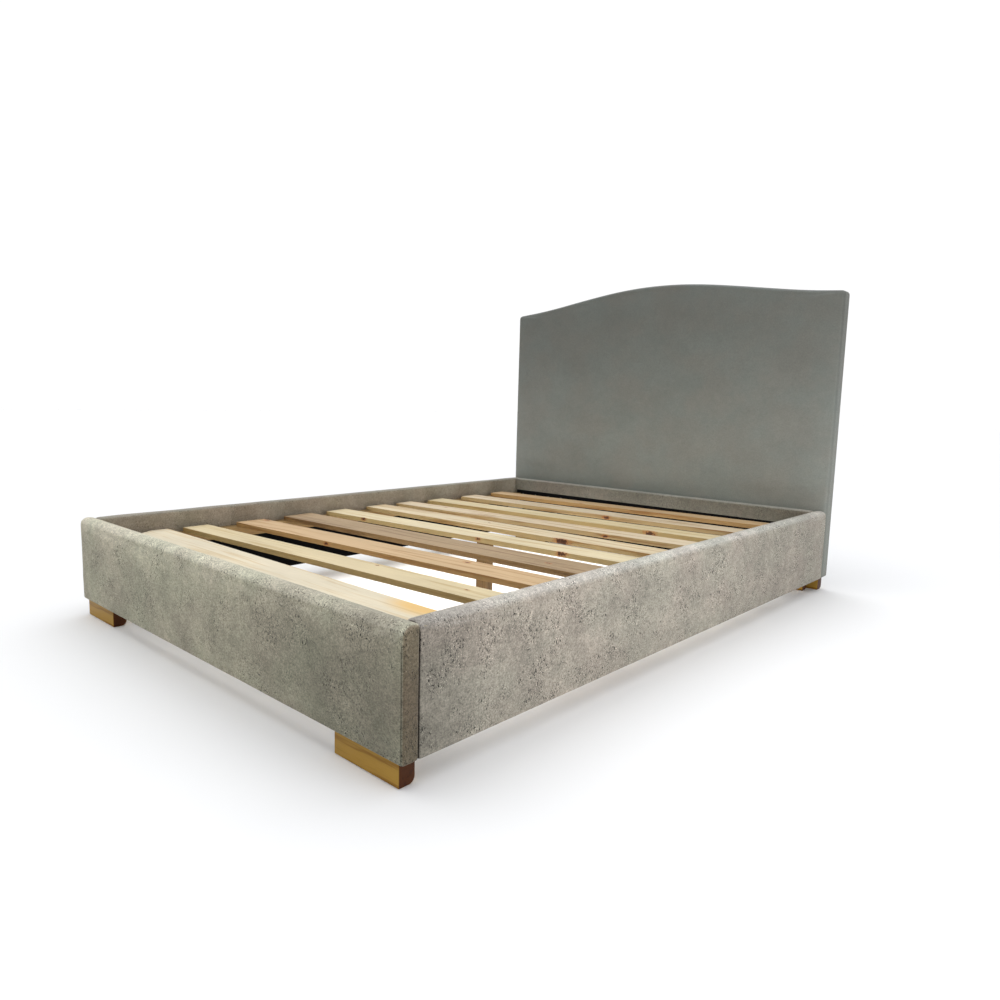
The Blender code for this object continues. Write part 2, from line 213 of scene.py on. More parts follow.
def velvet(name, tints, offset, contrast=1.0, speckle=1.0, painted_face_light=(), painted_light_drifts=(), seams=()):
    """Short-pile velvet: two close tints, broken clouds, fine crinkles, dark and pale flecks.

    The face tints, each (object-space direction, from, to, tint), are painted light and shade on faces
    that look one way: lighter tops, darker insides and ends. The axis tones, each (axis, from, to,
    tone), are painted light and shade that drifts along the piece. seams are (x, top of the seam)
    where painted shade darkens the fabric in a thin line down a sewn seam.
    """
    g = Graph(name, roughness=0.92)
    g.shader.inputs["Sheen Weight"].default_value = 0.30
    g.shader.inputs["Sheen Roughness"].default_value = 0.40
    g.shader.inputs["Sheen Tint"].default_value = srgb(238, 236, 230)
    g.shader.inputs["Specular IOR Level"].default_value = 0.15
    p = g.coords(scale=(1.0, 1.0, 1.15), offset=offset)
    aside = g.coords(scale=(1.0, 1.0, 1.15), offset=(offset[1] + 3.0, offset[0], 1.7))
    patch = g.remap(g.noise(p, 5.0, 3.0, 0.6), 0.35, 0.65, smooth=True)
    colour = g.mix(patch, tints[0], tints[1])
    broad = g.remap(g.noise(aside, 7.0, 3.0, 0.6), 0.30, 0.70, *spread(0.15 * contrast))
    clouds = g.remap(g.noise(p, 40.0, 6.0, 0.72), 0.34, 0.66, *spread(0.13 * contrast))
    crinkle = g.noise(aside, 230.0, 4.0, 0.75, 0.3)
    fine = g.remap(crinkle, 0.32, 0.68, *spread(0.33 * contrast))
    pile = g.noise(p, 620.0, 2.0, 0.7)
    tone = g.math("MULTIPLY", g.math("MULTIPLY", clouds, broad), fine)
    where = g.remap(g.noise(aside, 11.0, 5.0, 0.70), 0.44, 0.62, 0.12, 1.0, smooth=True)
    upright = g.coords(scale=(1.0, 1.0, 0.55), offset=offset)
    pits = g.remap(g.noise(upright, 340.0, 2.0, 0.6, 0.5), 0.572, 0.625, smooth=True)
    fleck = g.math("MULTIPLY", g.math("MULTIPLY", pits, where), 0.62 * speckle)
    tone = g.math("MULTIPLY", tone, g.math("SUBTRACT", 1.0, fleck))
    pale = g.remap(g.noise(aside, 420.0, 2.0, 0.6), 0.61, 0.67, smooth=True)
    tone = g.math("ADD", tone, g.math("MULTIPLY", g.math("MULTIPLY", pale, where), 0.75 * speckle))
    # Painted light and shade: faces that look along each direction get lighter tops and darker insides and
    # ends.
    for axis, start, stop, tint in painted_face_light:
        facing = g.node("ShaderNodeVectorMath", {0: g.coords(out="Normal"), 1: axis}, out=1,
                        operation="DOT_PRODUCT")
        face_light_colour = g.mix(1.0, colour, (*tint, 1.0), "MULTIPLY")
        colour = g.mix(g.remap(facing, start, stop, smooth=True), colour, face_light_colour)
    split = g.tree.nodes.new("ShaderNodeSeparateXYZ")
    g.put(split.inputs[0], g.coords())
    # Painted light and shade drifting along the piece: darker towards some ends and corners, lighter along
    # top bands.
    for axis, start, stop, level in painted_light_drifts:
        painted_light_drift = g.remap(split.outputs[axis], start, stop, 1.0, level, smooth=True)
        tone = g.math("MULTIPLY", tone, painted_light_drift)
    # Painted shade in a thin line down each sewn seam.
    for x, top in seams:
        wander = g.math("MULTIPLY", g.math("SUBTRACT", crinkle, 0.5), 0.0020)
        away = g.math("ABSOLUTE", g.math("ADD", g.math("SUBTRACT", split.outputs[0], x), wander))
        seam_shade = g.math("MULTIPLY", g.remap(away, 0.0005, 0.0018, 1.0, 0.0, smooth=True),
                     g.remap(split.outputs[2], top - 0.02, top, 0.55, 0.0, smooth=True))
        tone = g.math("MULTIPLY", tone, g.math("SUBTRACT", 1.0, seam_shade))
    rough = g.bump(g.noise(p, 80.0, 4.0, 0.65), 0.0010, 0.45)
    relief = g.math("SUBTRACT", g.math("ADD", pile, crinkle), g.math("MULTIPLY", fleck, 1.5))
    return g.finish(g.scale_colour(colour, tone), g.bump(relief, 0.0009, 0.7, rough))


def wood(name, light, dark, seed, along="X", streak=75.0, contrast=1.0, knots=(), resin=None,
         roughness=0.62, rough_sawn=0.0, specular=0.35, end_stain_and_shade=None, painted_side_shade=None):
    """Softwood with streaked grain along one axis; knots are (x, y, z, radius) in the wood.

    Grain lines part round each knot, whose heart is dark with a red-brown rim. resin is an
    (x, y, radius) patch of amber wood. rough_sawn adds fuzzy saw marks. The end tint darkens the
    ends across the grain: end grain soaks up more stain, and the rest is painted shade. The side
    tint is painted shade on the faces that look along Y.
    """
    g = Graph(name, roughness=roughness)
    g.shader.inputs["Specular IOR Level"].default_value = specular
    place = g.coords()
    split = g.tree.nodes.new("ShaderNodeSeparateXYZ")
    g.put(split.inputs[0], place)
    x, y, z = split.outputs
    if along == "Z":
        x, z = z, x
    elif along == "Y":
        x, y = y, x
    heart = None
    rim = None
    slow = g.noise(g.coords(offset=(seed, 0, 0)), 2.2, 2.0)
    quick = g.noise(g.coords(offset=(seed, 3, 0)), 150.0, 3.0, 0.7)
    bend = g.math("MULTIPLY", g.math("SUBTRACT", slow, 0.5), 0.030)
    ragged = g.math("MULTIPLY", g.math("SUBTRACT", quick, 0.5), 2.6)
    for kx, ky, kz, radius in knots:
        gaps = [g.math("SUBTRACT", a, b) for a, b in ((x, kx), (y, ky), (z, kz))]
        squares = [g.math("MULTIPLY", d, g.math("MULTIPLY", d, k))
                   for d, k in zip(gaps, (0.24, 1.0, 1.0))]
        near = g.math("SQRT", g.math("ADD", g.math("ADD", squares[0], squares[1]), squares[2]))
        side = g.math("DIVIDE", gaps[1], g.math("ADD", g.math("ABSOLUTE", gaps[1]), 0.002))
        push = g.remap(near, radius * 0.6, radius * 4.0, radius * 1.1, 0.0, smooth=True)
        bend = g.math("SUBTRACT", bend, g.math("MULTIPLY", push, side))
        torn = g.math("ADD", near, g.math("MULTIPLY", ragged, radius))
        inside = g.remap(torn, radius * 0.60, radius * 0.85, 1.0, 0.0, smooth=True)
        around = g.remap(torn, radius * 0.85, radius * 1.8, 1.0, 0.0, smooth=True)
        heart = inside if heart is None else g.math("MAXIMUM", heart, inside)
        rim = around if rim is None else g.math("MAXIMUM", rim, around)
    across = g.math("ADD", y, bend)
    flow = g.node("ShaderNodeCombineXYZ", {0: g.math("MULTIPLY", x, 0.035), 1: across,
                                           2: g.math("ADD", g.math("MULTIPLY", z, 0.8), seed * 0.37)})
    bands = g.noise(flow, streak, 4.0, 0.55, 0.25)
    fibres = g.noise(flow, streak * 7.0, 2.0, 0.6)
    late = g.remap(bands, 0.50, 0.66, 0.0, 0.85 * contrast, smooth=True)
    colour = g.mix(late, light, dark)
    cloudy = g.noise(g.coords(scale=(1, 3, 3), offset=(seed * 1.3, 2, 0)), 3.5, 2.0)
    blotch = g.remap(cloudy, 0.3, 0.7, 0.93, 1.06)
    streaks = g.remap(fibres, 0.25, 0.75, 1.0 - 0.07 * contrast, 1.0 + 0.06 * contrast)
    tone = g.math("MULTIPLY", blotch, streaks)
    if rough_sawn:
        saw = g.noise(g.coords(scale=(60.0, 4.0, 60.0), offset=(seed, 1, 2)), 6.0, 3.0, 0.7)
        marks = g.remap(saw, 0.3, 0.7, 1.0 - 0.16 * rough_sawn, 1.0 + 0.10 * rough_sawn)
        tone = g.math("MULTIPLY", tone, marks)
    part = g.tree.nodes.new("ShaderNodeSeparateXYZ")
    g.put(part.inputs[0], g.coords(out="Normal"))
    colour = g.scale_colour(colour, tone)
    # The end tint is end grain that soaks up more stain, with painted shade on top; the side tint is
    # painted shade on faces that look along Y.
    for out, tint in (("XYZ".index(along), end_stain_and_shade), (1, painted_side_shade)):
        if tint is not None:
            facing = g.remap(g.math("ABSOLUTE", part.outputs[out]), 0.5, 0.9)
            colour = g.mix(facing, colour, g.mix(1.0, colour, tint, "MULTIPLY"))
    if rim is not None:
        colour = g.mix(g.math("MULTIPLY", rim, 0.6), colour, srgb(176, 100, 40))
        colour = g.mix(g.math("MULTIPLY", heart, 0.92), colour, srgb(72, 38, 20))
    if resin is not None:
        rx, ry, radius = resin
        dx = g.math("MULTIPLY", g.math("SUBTRACT", x, rx), 0.5)
        dy = g.math("SUBTRACT", y, ry)
        far = g.math("SQRT", g.math("ADD", g.math("MULTIPLY", dx, dx), g.math("MULTIPLY", dy, dy)))
        far = g.math("ADD", far, g.math("MULTIPLY", bands, radius * 0.5))
        amber = g.remap(far, radius * 0.5, radius * 1.4, 0.75, 0.0, smooth=True)
        colour = g.mix(amber, colour, srgb(236, 188, 96))
    height = g.math("ADD", g.math("MULTIPLY", bands, 0.6), g.math("MULTIPLY", fibres, 0.4))
    normal = g.bump(height, 0.0006 + 0.0008 * rough_sawn, 0.35 + 0.4 * rough_sawn)
    return g.finish(colour, normal)


def black_lining(name):
    """Black non-woven lining with its dimpled bonding pattern."""
    g = Graph(name, roughness=0.95)
    g.shader.inputs["Specular IOR Level"].default_value = 0.1
    p = g.coords()
    fibres = g.noise(p, 500.0, 2.0, 0.7)
    dimples = g.node("ShaderNodeTexVoronoi", {"Vector": p, "Scale": 600.0}, feature="F1")
    colour = g.scale_colour(srgb(9, 9, 10), g.remap(fibres, 0.3, 0.7, 0.6, 1.3))
    return g.finish(colour, g.bump(g.math("ADD", fibres, dimples), 0.0002, 0.3))


def steel(name):
    """Zinc-plated steel, slightly blotched and scratched."""
    g = Graph(name, roughness=0.38, metallic=1.0)
    p = g.coords()
    spangle = g.remap(g.noise(p, 160.0, 3.0), 0.3, 0.7, 0.85, 1.08)
    scratches = g.noise(g.coords(scale=(1, 1, 14)), 240.0, 2.0)
    colour = g.scale_colour(srgb(196, 196, 190), spangle)
    return g.finish(colour, g.bump(scratches, 0.0001, 0.2), g.remap(spangle, 0.85, 1.08, 0.46, 0.30))


def plain_noise(name, colour_a, colour_b, scale, roughness):
    """Two-tone granular stuff for the hidden foam and particle board."""
    g = Graph(name, roughness=roughness)
    grains = g.noise(g.coords(), scale, 3.0, 0.6)
    colour = g.mix(g.remap(grains, 0.35, 0.65), colour_a, colour_b)
    return g.finish(colour, g.bump(grains, 0.0004, 0.5))


def thread(name, colour):
    """Sewing thread with a faint twist."""
    g = Graph(name, roughness=0.7)
    twist = g.node("ShaderNodeTexWave", {"Vector": g.coords(), "Scale": 700.0, "Distortion": 1.0})
    return g.finish(g.scale_colour(colour, g.remap(twist, 0.0, 1.0, 0.75, 1.1)), g.bump(twist, 0.0002, 0.4))


# ---------------------------------------------------------------- meshes

def link(obj, mat, smooth):
    """Put a mesh in the scene with one material."""
    bpy.context.scene.collection.objects.link(obj)
    obj.data.materials.append(mat)
    if smooth:
        obj.data.shade_smooth()
    return obj


def from_bmesh(name, bm, mat, at=(0, 0, 0), smooth=True):
    mesh = bpy.data.meshes.new(name)
    bm.to_mesh(mesh)
    bm.free()
    obj = bpy.data.objects.new(name, mesh)
    obj.location = at
    return link(obj, mat, smooth)


def slice_across(bm, axis, cuts, dist):
    """Cut a whole mesh across one axis at each of these places."""
    normal = [0, 0, 0]
    normal[axis] = 1
    for cut in cuts:
        point = [0, 0, 0]
        point[axis] = cut
        bmesh.ops.bisect_plane(bm, geom=bm.verts[:] + bm.edges[:] + bm.faces[:], dist=dist,
                               plane_co=point, plane_no=normal)


def grid_block(size, radius_of, spacing):
    """A rounded box round the origin, cut into an even grid so it can bend.

    radius_of gives the rounding of the edge where two faces meet, each face an (axis, side) pair.
    """
    half = [v / 2 for v in size]
    bm = bmesh.new()
    bmesh.ops.create_cube(bm, size=1.0, matrix=Matrix.Diagonal((*size, 1.0)))
    for axis in range(3):
        flat = size[axis] - 2 * NEAR_EDGE[-1]
        count = max(1, round(flat / spacing))
        cuts = [-flat / 2 + flat * i / count for i in range(count + 1)]
        cuts += [side * (half[axis] - t) for t in NEAR_EDGE[:-1] for side in (-1, 1)]
        slice_across(bm, axis, cuts, 1e-5)
    for vert in bm.verts:
        p = vert.co.copy()
        for i, j in ((0, 2), (1, 2), (0, 1)):
            sides = [1 if p[k] >= 0 else -1 for k in (i, j)]
            radius = radius_of((i, sides[0]), (j, sides[1]))
            past = [abs(p[k]) - (half[k] - radius) for k in (i, j)]
            if min(past) > 0:
                shrink = max(past) / math.hypot(*past)
                for k, side, reach in zip((i, j), sides, past):
                    p[k] = side * (half[k] - radius + reach * shrink)
        vert.co = p
    return bm


def coords_of(obj):
    co = np.empty(len(obj.data.vertices) * 3)
    obj.data.vertices.foreach_get("co", co)
    return co.reshape(-1, 3)


def normals_of(obj):
    obj.data.update()
    normals = np.empty(len(obj.data.vertices) * 3)
    obj.data.vertex_normals.foreach_get("vector", normals)
    return normals.reshape(-1, 3)


def set_coords(obj, co):
    obj.data.vertices.foreach_set("co", np.ascontiguousarray(co, dtype=np.float64).ravel())
    obj.data.update()


def stretch_cloth(obj, loose, cap):
    """Blow the padding up a little under its cover with Cloth, then keep up to loose * cap of it.

    loose is 0 where the fabric is stapled, sewn or pressed against a neighbour and 1 where it is
    free. The padding fills the cover, so no point ends up below its resting place.
    """
    rest = coords_of(obj)
    group = obj.vertex_groups.new(name="held")
    for i, w in enumerate(loose):
        group.add([i], float(1.0 - min(1.0, w)), "REPLACE")
    cloth = obj.modifiers.new("cloth", "CLOTH")
    s = cloth.settings
    s.quality = 4
    s.mass = 0.35
    s.tension_stiffness = 22.0
    s.compression_stiffness = 18.0
    s.shear_stiffness = 6.0
    s.bending_stiffness = 1.2
    s.shrink_min = -0.004
    s.use_pressure = True
    s.uniform_pressure_force = CLOTH_PRESSURE
    s.vertex_group_mass = "held"
    s.effector_weights.gravity = 0.0
    cloth.point_cache.frame_start = 1
    cloth.point_cache.frame_end = CLOTH_FRAMES
    scene = bpy.context.scene
    for step in range(1, CLOTH_FRAMES + 1):
        scene.frame_set(step)
    graph = bpy.context.evaluated_depsgraph_get()
    moved = obj.evaluated_get(graph)
    mesh = moved.to_mesh()
    out = np.empty(len(mesh.vertices) * 3)
    mesh.vertices.foreach_get("co", out)
    moved.to_mesh_clear()
    obj.modifiers.remove(cloth)
    obj.vertex_groups.remove(group)
    scene.frame_set(1)
    shift = out.reshape(-1, 3) - rest
    normals = normals_of(obj)
    inward = np.minimum(0.0, (shift * normals).sum(1) - 0.0004 * np.asarray(loose))
    shift -= normals * inward[:, None]
    length = np.linalg.norm(shift, axis=1)
    limit = cap * np.asarray(loose)
    keep = np.minimum(1.0, limit / np.maximum(length, 1e-9))
    set_coords(obj, rest + shift * keep[:, None])


def settle_padding(obj, loose, amount, scale=7.0):
    """Faint waves in the padding where the fabric is free."""
    co = coords_of(obj)
    wave = np.array([0.5 + noise.noise(Vector(p) * scale) for p in co])
    set_coords(obj, co + normals_of(obj) * (wave * amount * np.asarray(loose))[:, None])


def smoothstep(x, a, b):
    t = np.clip((np.asarray(x, dtype=float) - a) / (b - a), 0.0, 1.0)
    return t * t * (3 - 2 * t)


def subdivide(obj):
    mod = obj.modifiers.new("subdivision", "SUBSURF")
    mod.levels = 1
    mod.render_levels = 1


# ---------------------------------------------------------------- frame panels, linings, staples

def panel_cover(name, mat, outward, hem):
    """The fabric of one frame panel; outward is the world direction of its outer face.

    The footboard's ends are free to swell; the other panels end against a neighbour.
    """
    low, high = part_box(name + "_cover")
    size = high - low
    middle = (low + high) / 2
    axis = 0 if abs(outward[0]) > 0.5 else 1
    long_axis = 1 - axis

    def radius_of(a, b):
        if a[0] != 2 and b[0] != 2:
            return UPRIGHT_EDGE
        up, other = (a, b) if a[0] == 2 else (b, a)
        if up[1] < 0:
            return BOTTOM_EDGE
        if other[0] == long_axis:
            return TOP_END
        return OUTER_ROLL if other[1] == outward[axis] else INNER_ROLL

    obj = from_bmesh(name + "_upholstery", grid_block(size, radius_of, PANEL_GRID), mat, middle)
    co = coords_of(obj)
    across = np.clip(1.0 - (2 * co[:, axis] / size[axis]) ** 2, 0.0, 1.0)
    co[:, 2] += CROWN * across * (co[:, 2] > size[2] / 2 - OUTER_ROLL)
    set_coords(obj, co)
    depth = co[:, axis] * outward[axis]              # + half thickness on the outer face
    along = np.abs(co[:, long_axis])
    up = co[:, 2] + size[2] / 2
    half = size[long_axis] / 2
    free_end = 0.25 + 0.75 * smoothstep(half - along, 0.006, 0.06)
    if name == "footboard":
        free_end = 0.75 + 0.25 * free_end
    else:
        free_end[half - along < 1e-4] = 0.0
    outer = smoothstep(depth, -size[axis] * 0.45, size[axis] * 0.10)
    loose = outer * free_end * (0.3 + 0.7 * smoothstep(up, 0.002, 0.05))
    inner_top = (1 - outer) * free_end * smoothstep(up, size[2] - 0.05, size[2] - 0.01) * 0.5
    loose = np.maximum(loose, inner_top)
    stretch_cloth(obj, loose, PANEL_SWELL)
    settle_padding(obj, loose, PANEL_WAVE)
    co = coords_of(obj)
    behind = (depth < 0.0005 - size[axis] / 2) & (up < hem - low.z)
    co[behind, axis] += outward[axis] * UNDER_LINING
    below = (up < 0.0005) & (depth < size[axis] / 2 - LINING_INSET)
    co[below, 2] += UNDER_LINING
    set_coords(obj, co)
    subdivide(obj)
    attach(obj, "frame")
    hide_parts(name + "_cover")


def seam_line(name, a, b, mat):
    """A run of small stitches from a to b, each a long bead that sinks at its ends."""
    bm = bmesh.new()
    step = (b - a).normalized()
    count = int((b - a).length / STITCH_SPACING)
    turn = step.to_track_quat("X", "Z").to_matrix().to_4x4()
    for i in range(count):
        centre = a + step * (i + 0.5) * (b - a).length / count
        bead = Matrix.Diagonal((STITCH_LENGTH, STITCH_THICK, STITCH_THICK, 1.0))
        shape = Matrix.Translation(centre) @ turn @ bead
        bmesh.ops.create_uvsphere(bm, u_segments=8, v_segments=5, radius=0.5, matrix=shape)
    obj = from_bmesh(name, bm, mat)
    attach(obj, "frame")


def sheet_between(name, rows, mat):
    """A cloth sheet through rows of points, thickened afterwards."""
    bm = bmesh.new()
    grid = [[bm.verts.new(p) for p in row] for row in rows]
    for upper, lower in zip(grid, grid[1:]):
        for i in range(len(upper) - 1):
            bm.faces.new((upper[i], upper[i + 1], lower[i + 1], lower[i]))
    bmesh.ops.recalc_face_normals(bm, faces=bm.faces)
    obj = from_bmesh(name, bm, mat)
    mod = obj.modifiers.new("thickness", "SOLIDIFY")
    mod.thickness = LINING
    mod.offset = 0.0
    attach(obj, "frame")
    return obj


def staples(name, places, mat):
    """Steel staple crowns; places are (point, direction along the crown, outward direction)."""
    bm = bmesh.new()
    for point, along, out in places:
        along, out = Vector(along), Vector(out)
        across = out.cross(along)
        turn = Matrix((along, across, out)).transposed().to_4x4()
        crown = (0.0, STAPLE_CROWN, STAPLE_WIRE / 2, 0.0004)
        ends = [(shift, 0.0008, STAPLE_WIRE, 0.0) for shift in (-0.0045, 0.0045)]
        for shift, length, height, lift in (crown, *ends):
            centre = Vector(point) + along * shift + out * lift
            shape = Matrix.Translation(centre) @ turn @ Matrix.Diagonal((length, STAPLE_WIRE, height, 1.0))
            made = bmesh.ops.create_cube(bm, size=1.0, matrix=shape)
            edges = list({e for v in made["verts"] for e in v.link_edges})
            bmesh.ops.bevel(bm, geom=edges, offset=0.00015, segments=1, affect="EDGES")
    obj = from_bmesh(name, bm, mat, smooth=False)
    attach(obj, "frame")


def point_at(axis, depth, along, z):
    """A point from its place on one level axis, its place on the other and its height."""
    point = [0.0, 0.0, z]
    point[axis] = depth
    point[1 - axis] = along
    return point


def panel_lining(name, mat, staple_mat, outward, hem):
    """The black cloth under one panel and up its inside, tacked down with staples."""
    low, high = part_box(name + "_lining")
    axis = 0 if abs(outward[0]) > 0.5 else 1
    long_axis = 1 - axis
    sign = outward[axis]
    inner = low[axis] if sign > 0 else high[axis]
    outer = high[axis] if sign > 0 else low[axis]
    bottom = low.z
    inner += sign * LINING / 2
    path = [(outer + (inner - outer) * t, bottom + LINING / 2, 0.0) for t in (0.0, 0.3, 0.6)]
    for angle in (0.0, 30.0, 60.0, 90.0):
        a = math.radians(angle)
        path.append((inner + sign * LINING_FOLD * (1 - math.sin(a)),
                     bottom + LINING / 2 + LINING_FOLD * (1 - math.cos(a)), 0.0))
    top = hem - 0.0004
    height = top - bottom
    path += [(inner, bottom + height * t, 1.0) for t in (0.12, 0.25, 0.4, 0.55, 0.7, 0.85, 0.95, 1.0)]
    count = int((high[long_axis] - low[long_axis]) / 0.016)
    rows = []
    for k in range(count + 1):
        along = low[long_axis] + (high[long_axis] - low[long_axis]) * k / count
        row = []
        for d, z, free in path:
            slack = noise.noise(Vector((along * 11.0, z * 26.0, d * 3.0))) * 0.0004 * free
            row.append(point_at(axis, d + sign * (0.0002 + slack) * free, along, z))
        rows.append(row)
    cloth = sheet_between(name + "_cloth", rows, mat)
    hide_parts(name + "_lining")
    direction = point_at(axis, 0.0, 1.0, 0.0)
    inward = point_at(axis, -sign, 0.0, 0.0)
    places = []
    steps = int((high[long_axis] - low[long_axis]) / STAPLE_SPACING)
    for k in range(steps):
        along = low[long_axis] + (high[long_axis] - low[long_axis]) * (k + 0.5) / steps
        shift = noise.noise(Vector((along * 30.0, sign, 4.0)))
        inside = point_at(axis, inner - sign * LINING * 0.4, along, top - 0.017 + shift * 0.002)
        if staple_clear(inside):
            places.append((inside, direction, inward))
        under = point_at(axis, outer - sign * (0.007 + shift * 0.002), along, bottom - 0.0001)
        places.append((under, direction, (0.0, 0.0, -1.0)))
    staples(name + "_staples", places, staple_mat)


def staple_clear(point):
    """True where no slat support stands in front of a staple."""
    for side in ("left", "right"):
        low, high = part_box("slat_support_" + side)
        if low.x - 0.004 < point[0] < high.x + 0.004 and low.z - 0.004 < point[2] < high.z + 0.004:
            return False
    return True


# ---------------------------------------------------------------- headboard

def headboard_back(mat, staple_mat):
    """The black cloth over the headboard's back, with its staples."""
    low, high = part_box("headboard_back_cloth")
    y = high.y - LINING / 2
    columns, lines = 90, 68
    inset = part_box("headboard_cover")[1].x - high.x
    rows = []
    for j in range(lines + 1):
        row = []
        for i in range(columns + 1):
            x = low.x + (high.x - low.x) * i / columns
            top = float(bell(x)) - inset
            z = low.z + (top - low.z) * j / lines
            edge = min(x - low.x, high.x - x, z - low.z, top - z)
            slack = noise.noise(Vector((x * 3.2, z * 3.6, 1.0))) * 0.0016 * min(1.0, edge / 0.12)
            slack += noise.noise(Vector((x * 26.0, z * 26.0, 5.0))) * 0.00035 * max(0.0, 1.0 - edge / 0.10)
            row.append((x, y - max(0.0, slack) * 0.6, z))
        rows.append(row)
    cloth = sheet_between("headboard_back_sheet", rows, mat)
    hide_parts("headboard_back_cloth")
    width = high.x - low.x
    places = []
    out = (0.0, 1.0, 0.0)
    for k in range(22):
        x = low.x + 0.012 + (width - 0.024) * k / 21
        places.append(((x, high.y + 0.0001, low.z + 0.006), (1, 0, 0), out))
        places.append(((x, high.y + 0.0001, float(bell(x)) - inset - 0.007), (1, 0, 0), out))
    for k in range(1, 16):
        for side in (-1, 1):
            z = low.z + (float(bell(high.x)) - inset - low.z) * k / 16
            places.append(((side * (high.x - 0.006), high.y + 0.0001, z), (0, 0, 1), out))
    staples("headboard_staples", places, staple_mat)


def bell(x):
    """The height of the headboard's top at x."""
    return BELL_BASE + BELL_RISE * 0.5 * (1.0 + np.cos(math.pi * x / BELL_HALF))


def head_radius(a, b):
    """The rounding of a headboard edge: soft to the front, tighter at the back and below."""
    if (2, -1) in (a, b) or (1, 1) in (a, b):
        return HEAD_BACK_EDGE
    return HEAD_FRONT_EDGE


def headboard_cover(mat):
    low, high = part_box("headboard_cover")
    side_top = float(bell(high.x))
    size = Vector((high.x - low.x, high.y - low.y, side_top - low.z))
    middle = Vector(((low.x + high.x) / 2, (low.y + high.y) / 2, (low.z + side_top) / 2))
    obj = from_bmesh("headboard_upholstery", grid_block(size, head_radius, HEAD_GRID), mat, middle)
    co = coords_of(obj)
    up = co[:, 2] + size.z / 2
    lift = np.clip(up / (size.z - HEAD_FRONT_EDGE * 1.2), 0.0, 1.0) ** 2
    co[:, 2] += (bell(co[:, 0]) - side_top) * lift
    set_coords(obj, co)
    world_z = co[:, 2] + middle.z
    front = smoothstep(-co[:, 1], -size.y * 0.25, size.y * 0.2)
    edge = smoothstep(size.x / 2 - np.abs(co[:, 0]), 0.0, 0.07)
    above_rail = smoothstep(world_z, 0.305, 0.42)
    loose = np.clip(front * above_rail * (0.35 + 0.65 * edge), 0.0, 1.0)
    back = (co[:, 1] > size.y / 2 - 0.0005) & (size.x / 2 - np.abs(co[:, 0]) > BACK_INSET)
    back &= (world_z - low.z > BACK_INSET) & (bell(co[:, 0]) - world_z > BACK_INSET)
    stretch_cloth(obj, loose, HEAD_SWELL)
    settle_padding(obj, loose, HEAD_WAVE, 4.0)
    co = coords_of(obj)
    co[back, 1] -= UNDER_LINING
    set_coords(obj, co)
    subdivide(obj)
    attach(obj, "frame")
    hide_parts("headboard_cover")


# ---------------------------------------------------------------- wood

def plank(number, mat, chamfer=None, slant=0.0):
    """One loose slat: sawn edges that wander a little, worn corners, a slight bow.

    chamfer is (x, y) of a corner sawn off at the front left; slant is how far the left end is out
    of square.
    """
    name = SLATS[number - 1]
    node = frame["nodes"][name]
    co = np.array([v.co for v in node.data.vertices])
    low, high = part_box(name)
    turn = plank_turn(co)
    spin = Matrix.Rotation(-turn, 3, "Z")
    middle = (low + high) / 2
    local = np.array([spin @ (Vector(c) - middle) for c in co])
    size = Vector(local.max(0) - local.min(0))
    bm = bmesh.new()
    bmesh.ops.create_cube(bm, size=1.0, matrix=Matrix.Diagonal((*size, 1.0)))
    bmesh.ops.bevel(bm, geom=list(bm.edges), offset=0.0011, segments=2, profile=0.6, affect="EDGES")
    for axis, count in ((0, 56), (1, 5)):
        slice_across(bm, axis, [(i / count - 0.5) * (size[axis] - 0.004) for i in range(1, count)], 1e-6)
    obj = from_bmesh(name + "_plank", bm, mat, middle)
    obj.rotation_euler = (0, 0, turn)
    p = coords_of(obj)
    half_x, half_y = size.x / 2, size.y / 2
    seed = number * 3.7
    for i, (x, y, z) in enumerate(p):
        side = math.copysign(1.0, y)
        at_edge = smoothstep(abs(y), half_y * 0.5, half_y)
        wander = noise.noise(Vector((x * 9, side * 3.1, seed))) * PLANK_WANDER - PLANK_WANDER
        p[i, 1] = y + side * at_edge * wander
        end = math.copysign(1.0, x)
        at_end = smoothstep(abs(x), half_x * 0.985, half_x)
        ragged = noise.noise(Vector((end * 5.3, y * 60, z * 90 + seed))) * 0.0012 - 0.0012
        if end < 0:
            ragged -= slant * smoothstep(y, -half_y, half_y)
        p[i, 0] = x + end * at_end * ragged
        p[i, 2] = z + noise.noise(Vector((x * 2.2, y * 3, seed + 9))) * 0.0003
        if chamfer:
            cut_x, cut_y = chamfer
            past = (-x - (half_x - cut_x)) / cut_x + (-y - (half_y - cut_y)) / cut_y - 1.0
            if past > 0:
                p[i, 0] += past * cut_x * 0.5
                p[i, 1] += past * cut_y * 0.5
    set_coords(obj, p)
    obj.data.set_sharp_from_angle(angle=math.radians(50))
    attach(obj, name)
    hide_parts(name)


def plank_turn(co):
    """How far a slat is turned about Z, from the main axis of its corners."""
    span = co[:, :2] - co[:, :2].mean(0)
    _, _, axes = np.linalg.svd(span, full_matrices=False)
    along = axes[0] if axes[0][0] > 0 else -axes[0]
    return math.atan2(along[1], along[0])


def worn_block(node, mat, chamfer=0.0016):
    """A wooden block on a CAD node's own shape, with softened edges."""
    source = frame["nodes"][node]
    low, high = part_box(node)
    middle = (low + high) / 2
    bm = bmesh.new()
    bm.from_mesh(source.data)
    bmesh.ops.remove_doubles(bm, verts=bm.verts, dist=1e-5)
    bmesh.ops.dissolve_limit(bm, angle_limit=0.01, verts=bm.verts, edges=bm.edges)
    bmesh.ops.translate(bm, verts=bm.verts, vec=-middle)
    obj = from_bmesh(node + "_wood", bm, mat, middle)
    soft = obj.modifiers.new("soft_edges", "BEVEL")
    soft.width = chamfer
    soft.segments = 3
    soft.limit_method = "ANGLE"
    soft.angle_limit = math.radians(25)
    soft.harden_normals = True
    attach(obj, source["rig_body"])
    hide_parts(node)
